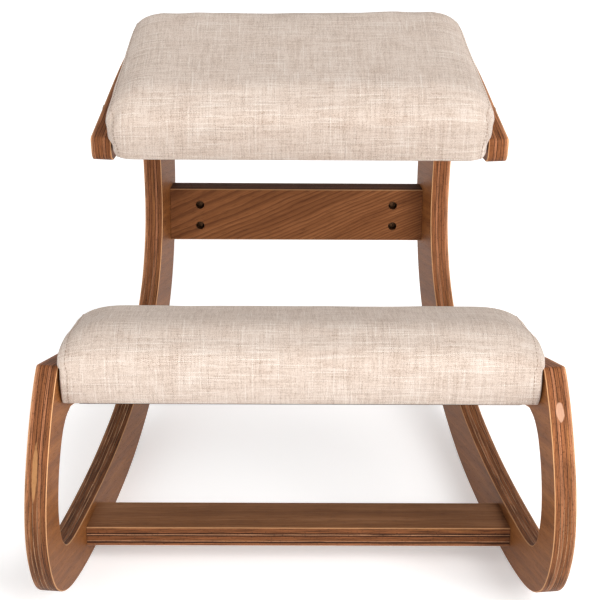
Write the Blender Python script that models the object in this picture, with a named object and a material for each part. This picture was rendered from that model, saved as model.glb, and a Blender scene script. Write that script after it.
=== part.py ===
"""Rocking kneeling chair: two toed-in plywood rocker frames, two crossbars, a seat and a knee rest.

Metres, +Z up. The sitter faces -Y, X = 0 is the plane of symmetry and Z = 0 is the floor under the
rockers. Each side frame is cut flat from plywood and stands upright, closer to its twin at the rear.
"""

import math

import bmesh
import bpy
from mathutils import Matrix, Vector

# Driving dimensions of the two side frames
PLY = 0.022
TOE_IN = math.radians(7.28)
HALF_GAP = 0.2011
CLEARANCE = 0.0003

# Side frame outline, as (along the frame, height). The outer line runs from the knee corner down
# the leg, back along the rocker, up the rear post and forward over the shoulder to the seat rail.
LEG_TO_SEAT_LINE = (
    (-0.2955, 0.2705), (-0.3150, 0.2470), (-0.3375, 0.2090), (-0.3530, 0.1700), (-0.3588, 0.1290),
    (-0.3510, 0.0915), (-0.3300, 0.0555), (-0.2930, 0.0305), (-0.2450, 0.0160), (-0.1800, 0.0065),
    (-0.1050, 0.0015), (-0.0300, 0.0000), (0.0450, 0.0035), (0.1200, 0.0160), (0.1900, 0.0365),
    (0.2560, 0.0665), (0.3045, 0.1030), (0.3345, 0.1510), (0.3500, 0.2050), (0.3560, 0.2500),
    (0.3540, 0.3000), (0.3485, 0.3500), (0.3370, 0.4000), (0.3180, 0.4380), (0.2920, 0.4620),
    (0.2600, 0.4720), (0.2200, 0.4705), (0.1650, 0.4640), (0.1095, 0.4545), (0.0430, 0.4400),
    (-0.0080, 0.4295),
)
# The inner line runs back under the seat rail, down the post, forward along the rocker into the
# notch behind the leg, and up the leg to the underside of the knee rail.
BAY_TO_KNEE_LINE = (
    (0.0100, 0.3970), (0.0450, 0.3925), (0.0950, 0.3920), (0.1450, 0.3915), (0.1900, 0.3870),
    (0.2220, 0.3745), (0.2430, 0.3530), (0.2560, 0.3220), (0.2620, 0.2830), (0.2638, 0.2420),
    (0.2580, 0.2080), (0.2410, 0.1700), (0.2145, 0.1400), (0.1750, 0.1120), (0.1200, 0.0870),
    (0.0600, 0.0710), (0.0050, 0.0640), (-0.0650, 0.0605), (-0.1350, 0.0615), (-0.2050, 0.0655),
    (-0.2520, 0.0700), (-0.2780, 0.0765), (-0.2920, 0.0860), (-0.3025, 0.1010), (-0.3080, 0.1300),
    (-0.3035, 0.1580), (-0.2935, 0.1820), (-0.2780, 0.2030), (-0.2600, 0.2130), (-0.2400, 0.2145),
)
LINE_STEPS = 2
SEAT_RAIL_TOP_CORNER = (-0.0205, 0.4268)
SEAT_RAIL_LOW_CORNER = (-0.0160, 0.3985)
SEAT_RAIL_TOP_RADIUS = 0.004
SEAT_RAIL_LOW_RADIUS = 0.014
KNEE_RAIL_FRONT_CORNER = (-0.2850, 0.2800)
KNEE_RAIL_SLOPE = math.radians(-17.0)
KNEE_RAIL_LENGTH = 0.191
KNEE_RAIL_DEPTH = 0.050
KNEE_RAIL_LOW_RADIUS = 0.020
KNEE_RAIL_REAR_RADIUS = 0.014
KNEE_RAIL_FRONT_RADIUS = 0.007
ARC_STEPS = 4

# Crossbars: planks of the same plywood, as lowest and highest (y, z)
UPPER_BAR = ((0.3140, 0.1815), (0.3390, 0.2505))
LOWER_BAR = ((-0.1970, 0.0285), (-0.1410, 0.0505))

# Cushions. Each lies on a tilted board whose lower front edge is at FRONT = (y, z)
BOARD = 0.015
FABRIC = 0.0015
HEM = 0.022
DUST_CLOTH = 0.0010
SIDE_CLEARANCE = 0.0008
SEAT = {"name": "seat", "front": (-0.0340, 0.4080), "tilt": math.radians(11.0), "depth": 0.248,
        "foam": 0.053, "corner": 0.016, "edge": 0.026, "crown": 0.004, "bolts": (0.090, 0.185)}
KNEE = {"name": "knee", "front": (-0.2870, 0.2415), "tilt": math.radians(-15.0), "depth": 0.180,
        "foam": 0.057, "corner": 0.012, "edge": 0.028, "crown": 0.005, "bolts": (0.045, 0.135)}
LEAST_CORNER = 0.004
CROWN_REACH = 3
CORNER_STEPS = 3
EDGE_STEPS = 3

# Fixings: a flat-headed connector bolt and a cross nut at each point, two per joint and side
BOLT = 0.0060
BOLT_HEAD = 0.0140
BOLT_HEAD_HEIGHT = 0.0022
BOLT_HEAD_CHAMFER = 0.0012
BOLT_HEAD_SIDE = 0.0014
BOLT_SOCKET = 0.0044
BOLT_SOCKET_DEPTH = 0.0018
BOLT_BORE = 0.0068
NUT = 0.0100
NUT_BORE = 0.0108
NUT_LENGTH = 0.0110
NUT_DEPTH = 0.0360
BOLT_TIP = -NUT_DEPTH - NUT / 2 - 0.0040
BORE_PAST_TIP = 0.0010
BORE_PAST_FACE = 0.0040
NUT_BORE_REACH = 0.0180
UPPER_BAR_BOLTS = (-0.0150, 0.0130)
LOWER_BAR_BOLTS = (-0.0140, 0.0140)
ROUND_STEPS = 8
QUARTER = math.radians(90)
HALF_TURN = math.radians(180)
SHARP_ABOVE = math.radians(35)

# Colours (linear RGB), roughness and metallic value
WALNUT = ("walnut_stained_plywood", (0.235, 0.105, 0.048), 0.50, 0.0)
BOARD_PLY = ("plain_plywood", (0.520, 0.360, 0.210), 0.65, 0.0)
LINEN = ("beige_linen", (0.640, 0.530, 0.430), 0.90, 0.0)
FOAM_YELLOW = ("foam", (0.800, 0.740, 0.520), 0.95, 0.0)
DUST_BLACK = ("dust_cloth", (0.020, 0.020, 0.022), 0.95, 0.0)
DARK_STEEL = ("blackened_steel", (0.045, 0.040, 0.036), 0.42, 1.0)
ZINC = ("zinc_plated_steel", (0.620, 0.610, 0.580), 0.35, 1.0)


def clear_scene():
    for item in list(bpy.data.objects):
        bpy.data.objects.remove(item, do_unlink=True)


def material(spec):
    name, colour, roughness, metallic = spec
    made = bpy.data.materials.get(name) or bpy.data.materials.new(name)
    made.use_nodes = True
    shader = made.node_tree.nodes["Principled BSDF"]
    shader.inputs["Base Color"].default_value = (*colour, 1.0)
    shader.inputs["Roughness"].default_value = roughness
    shader.inputs["Metallic"].default_value = metallic
    return made


def add_object(name, bm, spec, smooth=True):
    """Turn a finished bmesh into a named object with its material."""
    bmesh.ops.recalc_face_normals(bm, faces=bm.faces)
    mesh = bpy.data.meshes.new(name)
    bm.to_mesh(mesh)
    bm.free()
    made = bpy.data.objects.new(name, mesh)
    bpy.context.collection.objects.link(made)
    mesh.materials.append(material(spec))
    if smooth:
        mesh.shade_smooth()
        mesh.set_sharp_from_angle(angle=SHARP_ABOVE)
    return made


def loft(bm, rings):
    """Skin a list of equal rings and cap both ends, as one closed body."""
    loops = [[bm.verts.new(point) for point in ring] for ring in rings]
    count = len(loops[0])
    for low, high in zip(loops, loops[1:]):
        for index in range(count):
            after = (index + 1) % count
            bm.faces.new((low[index], low[after], high[after], high[index]))
    bm.faces.new(loops[0][::-1])
    bm.faces.new(loops[-1])


def circle(radius, height, steps=ROUND_STEPS):
    turns = (2 * math.pi * (index + 0.5) / steps for index in range(steps))
    return [Vector((radius * math.cos(turn), radius * math.sin(turn), height)) for turn in turns]


def add_turned(bm, profile, placement):
    """Add a body turned about its own Z from (radius, height) pairs, then place it."""
    loft(bm, [[placement @ point for point in circle(*pair)] for pair in profile])


def smooth_line(knots, steps=LINE_STEPS):
    """Points along a Catmull-Rom curve through every knot."""
    points = [Vector(knot) for knot in knots]
    ends = [2 * points[0] - points[1], *points, 2 * points[-1] - points[-2]]
    line = []
    for before, start, stop, after in zip(ends, ends[1:], ends[2:], ends[3:]):
        for step in range(steps):
            t = step / steps
            line.append(0.5 * (2 * start + (stop - before) * t
                               + (2 * before - 5 * start + 4 * stop - after) * t ** 2
                               + (3 * start - before - 3 * stop + after) * t ** 3))
    return [*line, points[-1]]


def fillet(before, corner, after, radius, steps=ARC_STEPS):
    """Points of the arc that rounds a corner between two straight lines."""
    corner = Vector(corner)
    to_before = (Vector(before) - corner).normalized()
    to_after = (Vector(after) - corner).normalized()
    half = to_before.angle(to_after) / 2
    centre = corner + (to_before + to_after).normalized() * radius / math.sin(half)
    start = corner + to_before * radius / math.tan(half) - centre
    stop = corner + to_after * radius / math.tan(half) - centre
    turn = start.angle_signed(stop)
    return [centre + Matrix.Rotation(-turn * step / steps, 2) @ start for step in range(steps + 1)]


def side_frame_outline():
    """The closed outline of a side frame, as (along, height) points."""
    slope = Vector((math.cos(KNEE_RAIL_SLOPE), math.sin(KNEE_RAIL_SLOPE)))
    front = Vector(KNEE_RAIL_FRONT_CORNER)
    rear = front + KNEE_RAIL_LENGTH * slope
    low = rear + KNEE_RAIL_DEPTH * Vector((slope.y, -slope.x))
    outer = smooth_line(LEG_TO_SEAT_LINE)
    inner = smooth_line(BAY_TO_KNEE_LINE)
    seat_top = fillet(outer[-1], SEAT_RAIL_TOP_CORNER, SEAT_RAIL_LOW_CORNER, SEAT_RAIL_TOP_RADIUS)
    seat_low = fillet(SEAT_RAIL_TOP_CORNER, SEAT_RAIL_LOW_CORNER, inner[0], SEAT_RAIL_LOW_RADIUS)
    knee_low = fillet(inner[-1], low, rear, KNEE_RAIL_LOW_RADIUS)
    knee_rear = fillet(low, rear, front, KNEE_RAIL_REAR_RADIUS)
    knee_front = fillet(rear, front, outer[0], KNEE_RAIL_FRONT_RADIUS)
    return outer + seat_top + seat_low + inner + knee_low + knee_rear + knee_front


def frame_matrix(side):
    """From a side frame's own axes (inner face at x = 0, +y back) to the part's."""
    return Matrix.Translation((side * HALF_GAP, 0, 0)) @ Matrix.Rotation(side * TOE_IN, 4, "Z")


def side_frame(name, side):
    bm = bmesh.new()
    faces = [[Vector((side * depth, along, height)) for along, height in side_frame_outline()]
             for depth in (0.0, PLY)]
    loft(bm, faces)
    made = add_object(name, bm, WALNUT)
    made.matrix_world = frame_matrix(side)
    return made


def inner_half_width(y):
    """Half the room between the side frames at a place from front to back."""
    return HALF_GAP - math.tan(TOE_IN) * y


def crossbar(name, low, high):
    """A plank between the frames, with its ends mitred to their inner faces."""
    bm = bmesh.new()
    rings = []
    for side in (-1, 1):
        corners = ((low[0], low[1]), (high[0], low[1]), (high[0], high[1]), (low[0], high[1]))
        rings.append([Vector((side * (inner_half_width(y) - CLEARANCE), y, z)) for y, z in corners])
    loft(bm, rings)
    return add_object(name, bm, WALNUT, smooth=False)


def cushion_point(cushion, along, height):
    """The (y, z) of a place on a cushion, from its board's lower front edge."""
    tilt = cushion["tilt"]
    y = cushion["front"][0] + along * math.cos(tilt) - height * math.sin(tilt)
    z = cushion["front"][1] + along * math.sin(tilt) + height * math.cos(tilt)
    return y, z


def cushion_ring(cushion, inset, height):
    """A round-cornered trapezium across a cushion, drawn in by inset from the room between rails."""
    radius = max(cushion["corner"] - inset, LEAST_CORNER)
    ring = []
    for quarter, (across, back) in enumerate(((1, 0), (1, 1), (-1, 1), (-1, 0))):
        along = (cushion["depth"] - inset - radius) if back else (inset + radius)
        for step in range(CORNER_STEPS + 1):
            turn = QUARTER * (quarter - 1 + step / CORNER_STEPS)
            y, z = cushion_point(cushion, along + radius * math.sin(turn), height)
            width = inner_half_width(y) - SIDE_CLEARANCE - inset - radius
            ring.append(Vector((across * width + radius * math.cos(turn), y, z)))
    return ring


def rounded_top(cushion, inset, height, crown):
    """Rings that round a cushion's upper edge over to a slightly crowned top."""
    edge = cushion["edge"] - inset
    rings = []
    for step in range(EDGE_STEPS + 1):
        turn = QUARTER * step / EDGE_STEPS
        rings.append(cushion_ring(cushion, inset + edge * (1 - math.cos(turn)),
                                  height - edge * (1 - math.sin(turn))))
    rings.append(cushion_ring(cushion, inset + CROWN_REACH * edge, height + crown))
    return rings


def cushion_parts(cushion):
    """Board, foam, cover and dust cloth of one cushion, nested with a small gap between them."""
    name = cushion["name"]
    core = FABRIC + CLEARANCE
    top = BOARD + cushion["foam"]
    bm = bmesh.new()
    loft(bm, [cushion_ring(cushion, core, height) for height in (0.0, BOARD)])
    board = add_object(name + "_board", bm, BOARD_PLY)

    bm = bmesh.new()
    rings = [cushion_ring(cushion, core, BOARD + CLEARANCE)]
    rings += rounded_top(cushion, core, top - core, cushion["crown"])
    loft(bm, rings)
    add_object(name + "_foam", bm, FOAM_YELLOW)

    bm = bmesh.new()
    inside = [cushion_ring(cushion, FABRIC, -CLEARANCE)]
    inside += rounded_top(cushion, FABRIC, top - FABRIC, cushion["crown"])
    under = [cushion_ring(cushion, HEM, -CLEARANCE), cushion_ring(cushion, HEM, -CLEARANCE - FABRIC),
             cushion_ring(cushion, 0.0, -CLEARANCE - FABRIC)]
    outside = rounded_top(cushion, 0.0, top, cushion["crown"])
    loft(bm, inside[::-1] + under + outside)
    cover = add_object(name + "_cover", bm, LINEN)

    bm = bmesh.new()
    cloth_top = -2 * CLEARANCE
    loft(bm, [cushion_ring(cushion, HEM + CLEARANCE, height)
              for height in (cloth_top - DUST_CLOTH, cloth_top)])
    add_object(name + "_dust_cloth", bm, DUST_BLACK)
    return board, cover


def fixing_points():
    """Where the bolts go: (along, height) on a frame and the turn of the nut's bore from +Z."""
    low, high = UPPER_BAR
    toe = math.cos(TOE_IN)
    pull = NUT_DEPTH * math.sin(TOE_IN)
    middle = (low[1] + high[1]) / 2
    upper = [(((low[0] + high[0]) / 2 + pull) / toe, middle + shift) for shift in UPPER_BAR_BOLTS]
    low, high = LOWER_BAR
    centre = (low[0] + high[0]) / 2
    lower = [((centre + shift + pull) / toe, (low[1] + high[1]) / 2) for shift in LOWER_BAR_BOLTS]
    points = {"upper_crossbar": (upper, QUARTER), "lower_crossbar": (lower, HALF_TURN)}
    for cushion in (SEAT, KNEE):
        places = [cushion_point(cushion, along, BOARD / 2) for along in cushion["bolts"]]
        places = [((y + pull) / toe, z) for y, z in places]
        points[cushion["name"] + "_board"] = (places, HALF_TURN + cushion["tilt"])
    return points


def frame_places(places):
    """Each fixing's label, the side it is on and its matrix on that frame's inner face."""
    for side, side_name in ((-1, "left"), (1, "right")):
        for place_name, (along, height) in zip(("a", "b"), places):
            matrix = frame_matrix(side) @ Matrix.Translation((0, along, height))
            yield side_name + "_" + place_name, side, matrix


def bolt_matrix(side, matrix):
    """+Z outward along the bolt, with the origin on the frame's inner face."""
    return matrix @ Matrix.Rotation(side * QUARTER, 4, "Y")


def nut_matrix(side, matrix, bore_turn):
    """+Z out through the mouth of the nut's bore, with the origin at the nut's middle."""
    return matrix @ Matrix.Translation((-side * NUT_DEPTH, 0, 0)) @ Matrix.Rotation(bore_turn, 4, "X")


def bolt(name, placement):
    """A flat-headed socket bolt through a frame, its head on the outer face."""
    head = PLY + CLEARANCE
    top = head + BOLT_HEAD_HEIGHT
    profile = ((BOLT / 2, BOLT_TIP), (BOLT / 2, head), (BOLT_HEAD / 2, head),
               (BOLT_HEAD / 2, head + BOLT_HEAD_SIDE), (BOLT_HEAD / 2 - BOLT_HEAD_CHAMFER, top),
               (BOLT_SOCKET / 2, top), (BOLT_SOCKET / 2, top - BOLT_SOCKET_DEPTH))
    bm = bmesh.new()
    add_turned(bm, profile, placement)
    return add_object(name, bm, DARK_STEEL)


def cross_nut(name, placement):
    bm = bmesh.new()
    add_turned(bm, ((NUT / 2, -NUT_LENGTH / 2), (NUT / 2, NUT_LENGTH / 2)), placement)
    return add_object(name, bm, ZINC)


def cutter(name, bm):
    made = add_object(name, bm, ZINC, smooth=False)
    made.hide_render = True
    made.display_type = "WIRE"
    return made


def bolt_bores(points):
    """Clearance holes along every bolt, a little longer than the bolts."""
    profile = ((BOLT_BORE / 2, BOLT_TIP - BORE_PAST_TIP), (BOLT_BORE / 2, PLY + BORE_PAST_FACE))
    bm = bmesh.new()
    for places, _ in points.values():
        for _, side, matrix in frame_places(places):
            add_turned(bm, profile, bolt_matrix(side, matrix))
    return cutter("bolt_bores", bm)


def nut_bores(points):
    """Blind bores for the cross nuts, open on the side that each nut is pushed in from."""
    profile = ((NUT_BORE / 2, -NUT_LENGTH / 2 - CLEARANCE), (NUT_BORE / 2, NUT_BORE_REACH))
    bm = bmesh.new()
    for places, bore_turn in points.values():
        for _, side, matrix in frame_places(places):
            add_turned(bm, profile, nut_matrix(side, matrix, bore_turn))
    return cutter("nut_bores", bm)


def cut(target, tool):
    bore = target.modifiers.new(tool.name, "BOOLEAN")
    bore.operation = "DIFFERENCE"
    bore.object = tool


def build():
    clear_scene()
    points = fixing_points()
    through = bolt_bores(points)
    blind = nut_bores(points)
    frames = [side_frame("side_frame_left", -1), side_frame("side_frame_right", 1)]
    bars = [crossbar("upper_crossbar", *UPPER_BAR), crossbar("lower_crossbar", *LOWER_BAR)]
    boards = []
    covers = []
    for cushion in (SEAT, KNEE):
        board, cover = cushion_parts(cushion)
        boards.append(board)
        covers.append(cover)
    nuts = []
    for name, (places, bore_turn) in points.items():
        for label, side, matrix in frame_places(places):
            bolt(f"{name}_bolt_{label}", bolt_matrix(side, matrix))
            nuts.append(cross_nut(f"{name}_nut_{label}", nut_matrix(side, matrix, bore_turn)))
    for target in frames + bars + boards + covers + nuts:
        cut(target, through)
    for target in bars + boards:
        cut(target, blind)


build()
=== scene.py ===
"""Looks of a rocking kneeling chair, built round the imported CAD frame.

Metres, +Z up, the sitter faces -Y. Each side panel has axes of its own: x outward through the
plywood from its inner face, y back along the panel and z up.
"""

import math
import random
from types import SimpleNamespace

import bmesh
import bpy
import numpy as np
from mathutils import Color, Matrix, Vector, noise
from mathutils.geometry import interpolate_bezier, tessellate_polygon


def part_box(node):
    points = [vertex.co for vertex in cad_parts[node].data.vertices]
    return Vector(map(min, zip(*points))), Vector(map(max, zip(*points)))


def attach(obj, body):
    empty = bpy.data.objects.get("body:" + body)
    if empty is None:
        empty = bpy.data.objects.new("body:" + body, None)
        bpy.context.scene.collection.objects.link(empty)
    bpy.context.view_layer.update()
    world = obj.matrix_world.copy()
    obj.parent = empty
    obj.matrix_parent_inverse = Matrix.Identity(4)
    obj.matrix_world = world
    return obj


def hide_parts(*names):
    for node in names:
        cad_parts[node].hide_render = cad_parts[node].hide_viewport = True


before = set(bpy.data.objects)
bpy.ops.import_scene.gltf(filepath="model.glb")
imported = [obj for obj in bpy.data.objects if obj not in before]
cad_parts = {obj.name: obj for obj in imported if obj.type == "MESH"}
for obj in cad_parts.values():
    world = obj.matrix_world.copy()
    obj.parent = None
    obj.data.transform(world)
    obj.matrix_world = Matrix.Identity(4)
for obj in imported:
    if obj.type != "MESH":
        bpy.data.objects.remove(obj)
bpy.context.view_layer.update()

# Driving dimensions, the same as in the CAD
PLY = 0.022
TOE_IN = math.radians(7.28)
HALF_GAP = 0.2011
BOARD = 0.015
QUARTER = math.radians(90)

# Side panels and crossbars
EASED_EDGE = 0.0011
EASED_STEPS = 4
OUTLINE_STEPS = 3
STRAIGHT_RUN = 2.5
BAR_GAP = 0.0003
BAR_STEPS = 12
NUT_BORE = 0.0108
BORE_REACH = 0.018
NUT_DEPTH = 0.0360

# Cushions. Front and tilt place the board's lower front edge. Depth and height are the plain block,
# whose upper edges are rounded over roll at the sides and over reach and edge at the front and back;
# shoulder is how far its top falls towards the sides. Rail is how high the side panels stand beside
# the cushion at its front and back, and flare how far its foam spreads over them there. Lean and
# belly carry the front face forward as it rises, and turn_under draws its foot back. Cells are the
# mesh's squares across, along, and below and above the rails; the seam runs that many from each end.
SEAT = SimpleNamespace(
    name="seat", front=(-0.0340, 0.4080), tilt=math.radians(11.0), depth=0.248, height=0.0690,
    front_corner=0.024, rear_corner=0.034, edge=0.028, reach=0.046, roll=0.034, shoulder=0.024,
    rail=(0.0160, 0.0180), flare=(0.004, 0.012), free_front=0.012, bulge=0.004, lean=0.0,
    belly=0.002, turn_under=0.002, rear_rise=0.0020, skew=-0.0035, lift_right=0.0025,
    cells=(80, 50, (3, 8)), seam=2)
KNEE = SimpleNamespace(
    name="knee", front=(-0.2899, 0.2420), tilt=math.radians(-15.0), depth=0.183, height=0.0760,
    front_corner=0.0070, rear_corner=0.024, edge=0.034, reach=0.052, roll=0.050, shoulder=0.018,
    rail=(0.0380, 0.0318), flare=(0.003, 0.023), free_front=0.0, bulge=0.004, lean=0.25,
    belly=0.006, turn_under=0.013, rear_rise=0.0, skew=0.0, lift_right=0.0,
    cells=(94, 36, (6, 6)), seam=3)
BULGE_STEPS = (0.0, 0.0012, 0.0040, 0.0080)
BULGE_HEIGHT = 0.012
SIDE_GAP = 0.0004
FABRIC = 0.0018
BOTTOM_EDGE = 0.0015
UNDER_HEIGHT = 0.030

# The cloth simulation, how much of its result is kept, and how high the cover is held at the board
CLOTH_SETTINGS = {
    "quality": 6, "mass": 0.3, "tension_stiffness": 18, "compression_stiffness": 18,
    "shear_stiffness": 6, "bending_stiffness": 1.5, "vertex_group_mass": "held",
    "pin_stiffness": 2.0, "use_pressure": True, "uniform_pressure_force": 4.0,
}
SIM_FRAMES = 20
FOAM_GIVE = 0.0006
SLIDE_KEPT = 0.3
CALM_ROUNDS = 14
GRIP_HEIGHT = 0.004
WAVE = 0.0008
FINE_WAVE = 0.0004

# Seams, stitches as (share of the length, height, thickness), and what is under the cushions
SEAM_DEPTH = 0.0008
STITCH_OFF_SEAM = 0.0022
STITCH_PITCH = 0.0046
STITCH_LENGTH = 0.0032
STITCH_RADIUS = 0.00042
STITCH_PROFILE = ((0.0, -0.4, 0.35), (0.18, 0.35, 0.9), (0.5, 0.75, 1.0), (0.82, 0.35, 0.9),
                  (1.0, -0.4, 0.35))
HEM = 0.016
CLOTH_GAP = 0.0006
CLOTH_SAG = 0.0012
CLOTH_RINGS = 18
STAPLE_PITCH = 0.038
STAPLE_SIZE = (0.0102, 0.0012, 0.0006, 1)
FOAM_GAP = 0.004

# Fixings
BOLT = 0.0060
BOLT_HEAD = 0.0140
BOLT_HEAD_HEIGHT = 0.0022
BOLT_TIP = -0.0450
THREAD_LENGTH = 0.022
THREAD_PITCH = 0.0010
THREAD_DEPTH = 0.0005
NUT = 0.0100
NUT_LENGTH = 0.0110
RING_SIDES = 24

# Camera, matched to the photograph
CAMERA_PLACE = Vector((-0.0226, -1.960, 1.063))
CAMERA_DOWN = math.radians(23.0)
CAMERA_RIGHT = math.radians(0.71)
CAMERA_ROLL = math.radians(0.5)
CAMERA_LENS = 113.64

# Where the lamp points, how bright the studio is in front and behind, and the floor's half size
LAMP_TARGET = Vector((0, 0, 0.28))
FRONT_SKY = 1.12
BACK_SKY = 0.50
FLOOR_REACH = 14.0


def srgb(*colour):
    """A linear colour from display values of 0 to 255."""
    return (*Color([part / 255 for part in colour]).from_srgb_to_scene_linear(), 1.0)


# ---- shader nodes

class Value:
    """What a shader node puts out, with plus and times standing for the maths nodes."""

    def __init__(self, mat, socket):
        self.mat = mat
        self.socket = socket

    def __add__(self, other):
        return self.mat.math("ADD", self, other)

    def __mul__(self, other):
        return self.mat.math("MULTIPLY", self, other)


class Shader:
    """The nodes of a material or world, with a short call for each kind the patterns use."""

    def __init__(self, name, made_by=bpy.data.materials, surface="Principled BSDF"):
        self.data = made_by.new(name)
        self.data.use_nodes = True
        self.tree = self.data.node_tree
        self.surface = self.tree.nodes[surface]

    def feed(self, socket, value):
        if isinstance(value, tuple) and any(isinstance(part, Value) for part in value):
            value = self.output("ShaderNodeCombineXYZ", dict(enumerate(value)))
        if isinstance(value, Value):
            self.tree.links.new(value.socket, socket)
        else:
            socket.default_value = value

    def node(self, kind, inputs, **settings):
        made = self.tree.nodes.new(kind)
        for name, value in settings.items():
            setattr(made, name, value)
        for socket, value in inputs.items():
            self.feed(made.inputs[socket], value)
        return made

    def output(self, kind, inputs, name=0, **settings):
        """One output of a new node."""
        return Value(self, self.node(kind, inputs, **settings).outputs[name])

    def set(self, **inputs):
        for name, value in inputs.items():
            self.feed(self.surface.inputs[name.replace("_", " ")], value)

    def math(self, operation, *values):
        return self.output("ShaderNodeMath", dict(enumerate(values)), operation=operation)

    def split(self, vector):
        made = self.node("ShaderNodeSeparateXYZ", {0: vector})
        return [Value(self, socket) for socket in made.outputs]

    def attribute(self, name, kind):
        return self.output("ShaderNodeAttribute", {}, kind, attribute_name=name)

    def place(self, kind="Object"):
        return self.output("ShaderNodeTexCoord", {}, kind)

    def noise(self, place, scale=1.0, detail=2.0, roughness=0.5):
        inputs = {"Vector": place, "Scale": scale, "Detail": detail, "Roughness": roughness}
        return self.output("ShaderNodeTexNoise", inputs, "Fac")

    def step(self, value, low, high, start=0.0, stop=1.0):
        """A smooth step from start to stop as value goes from low to high."""
        inputs = {0: value, 1: low, 2: high, 3: start, 4: stop}
        return self.output("ShaderNodeMapRange", inputs, interpolation_type="SMOOTHSTEP")

    def mix(self, factor, low, high):
        return self.output("ShaderNodeMix", {0: factor, 6: low, 7: high}, 2, data_type="RGBA")

    def dim(self, colour, factor):
        return self.output("ShaderNodeVectorMath", {0: colour, 3: factor}, operation="SCALE")

    def ramp(self, factor, *stops, blend="LINEAR"):
        made = self.node("ShaderNodeValToRGB", {0: factor})
        made.color_ramp.interpolation = blend
        elements = made.color_ramp.elements
        for place, colour in stops[2:]:
            elements.new(place)
        for element, (place, colour) in zip(elements, sorted(stops)):
            element.position = place
            element.color = colour
        return Value(self, made.outputs[0])

    def bump(self, height, distance):
        inputs = {"Height": height, "Distance": distance, "Strength": 1.0}
        return self.output("ShaderNodeBump", inputs)

    def two_tone(self, pattern, dark, light, relief, depth, low=0.3, high=0.7, **inputs):
        """Finish a plain material that goes from a dark to a light colour with a pattern."""
        colour = self.ramp(pattern, (low, srgb(*dark)), (high, srgb(*light)))
        self.set(Base_Color=colour, Normal=self.bump(relief, depth), **inputs)
        return self.data


# ---- materials

SKIN = srgb(230, 174, 124)
BROWN = srgb(146, 90, 55)
ROSE = srgb(172, 112, 76)
GLUE = srgb(72, 40, 25)
PALE = srgb(196, 142, 104)
WORN_GLUE = srgb(250, 196, 150)
GOLD = srgb(190, 128, 74)
BLACK = (0.0, 0.0, 0.0, 1.0)
WHITE = (1.0, 1.0, 1.0, 1.0)

# The layers of an edge from the inner face outwards, as (start in parts of the thickness, colour)
PANEL_LAYERS = ((0.0, BROWN), (0.245, GLUE), (0.275, ROSE), (0.400, GLUE), (0.430, BROWN),
                (0.600, GLUE), (0.625, BROWN), (0.760, GLUE), (0.785, ROSE), (0.900, PALE))
BAR_LAYERS = ((0.0, ROSE), (0.150, GLUE), (0.235, PALE), (0.285, BROWN), (0.520, GLUE), (0.585, PALE),
              (0.640, GLUE), (0.705, BROWN))
SKIN_START = 0.466
THREADS_PER_METRE = 1150.0


def veneer(mat, place, slope, figure, fan, middle):
    """Fibre tone, figure lines and pores of a plywood face whose grain runs at a slope to y."""
    depth, along, height = place
    turn, rise = math.cos(slope), math.sin(slope)
    wander = mat.noise((along * 5.0, height * 9.0), detail=3)
    length = along * turn + height * rise
    across = height * turn + along * -rise + wander * 0.016 + (-middle * turn - 0.008)
    side = depth * 90.0
    broad = mat.noise((across * 70.0, length * 3.0, side), detail=3, roughness=0.6)
    fibre = mat.noise((across * 900.0, length * 22.0, side), detail=3, roughness=0.65)
    pores = mat.noise((across * 1500.0, length * 75.0, side), detail=1)
    phase = across * figure + across * across * (-figure * fan) + broad * 1.6
    line = mat.step(mat.math("FRACT", phase), 0.45, 0.92)
    return broad * 0.55 + fibre * 0.45, line, mat.step(pores, 0.60, 0.74)


def patch(mat, place, middle, size):
    """How much of a spot on an edge lies in a smear of wood filler with a ragged outline."""
    depth, along, height = place
    ragged = mat.noise((depth * 260.0, height * 90.0), detail=3)
    off = (depth + -middle[0]) * (1 / size[0])
    up = (height + -middle[1]) * (1 / size[1])
    inside = mat.step(off * off + up * up + ragged * 1.2, 1.25, 1.7, 1.0, 0.0)
    return inside * mat.step(along, -0.29, -0.28, 1.0, 0.0)


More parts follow.
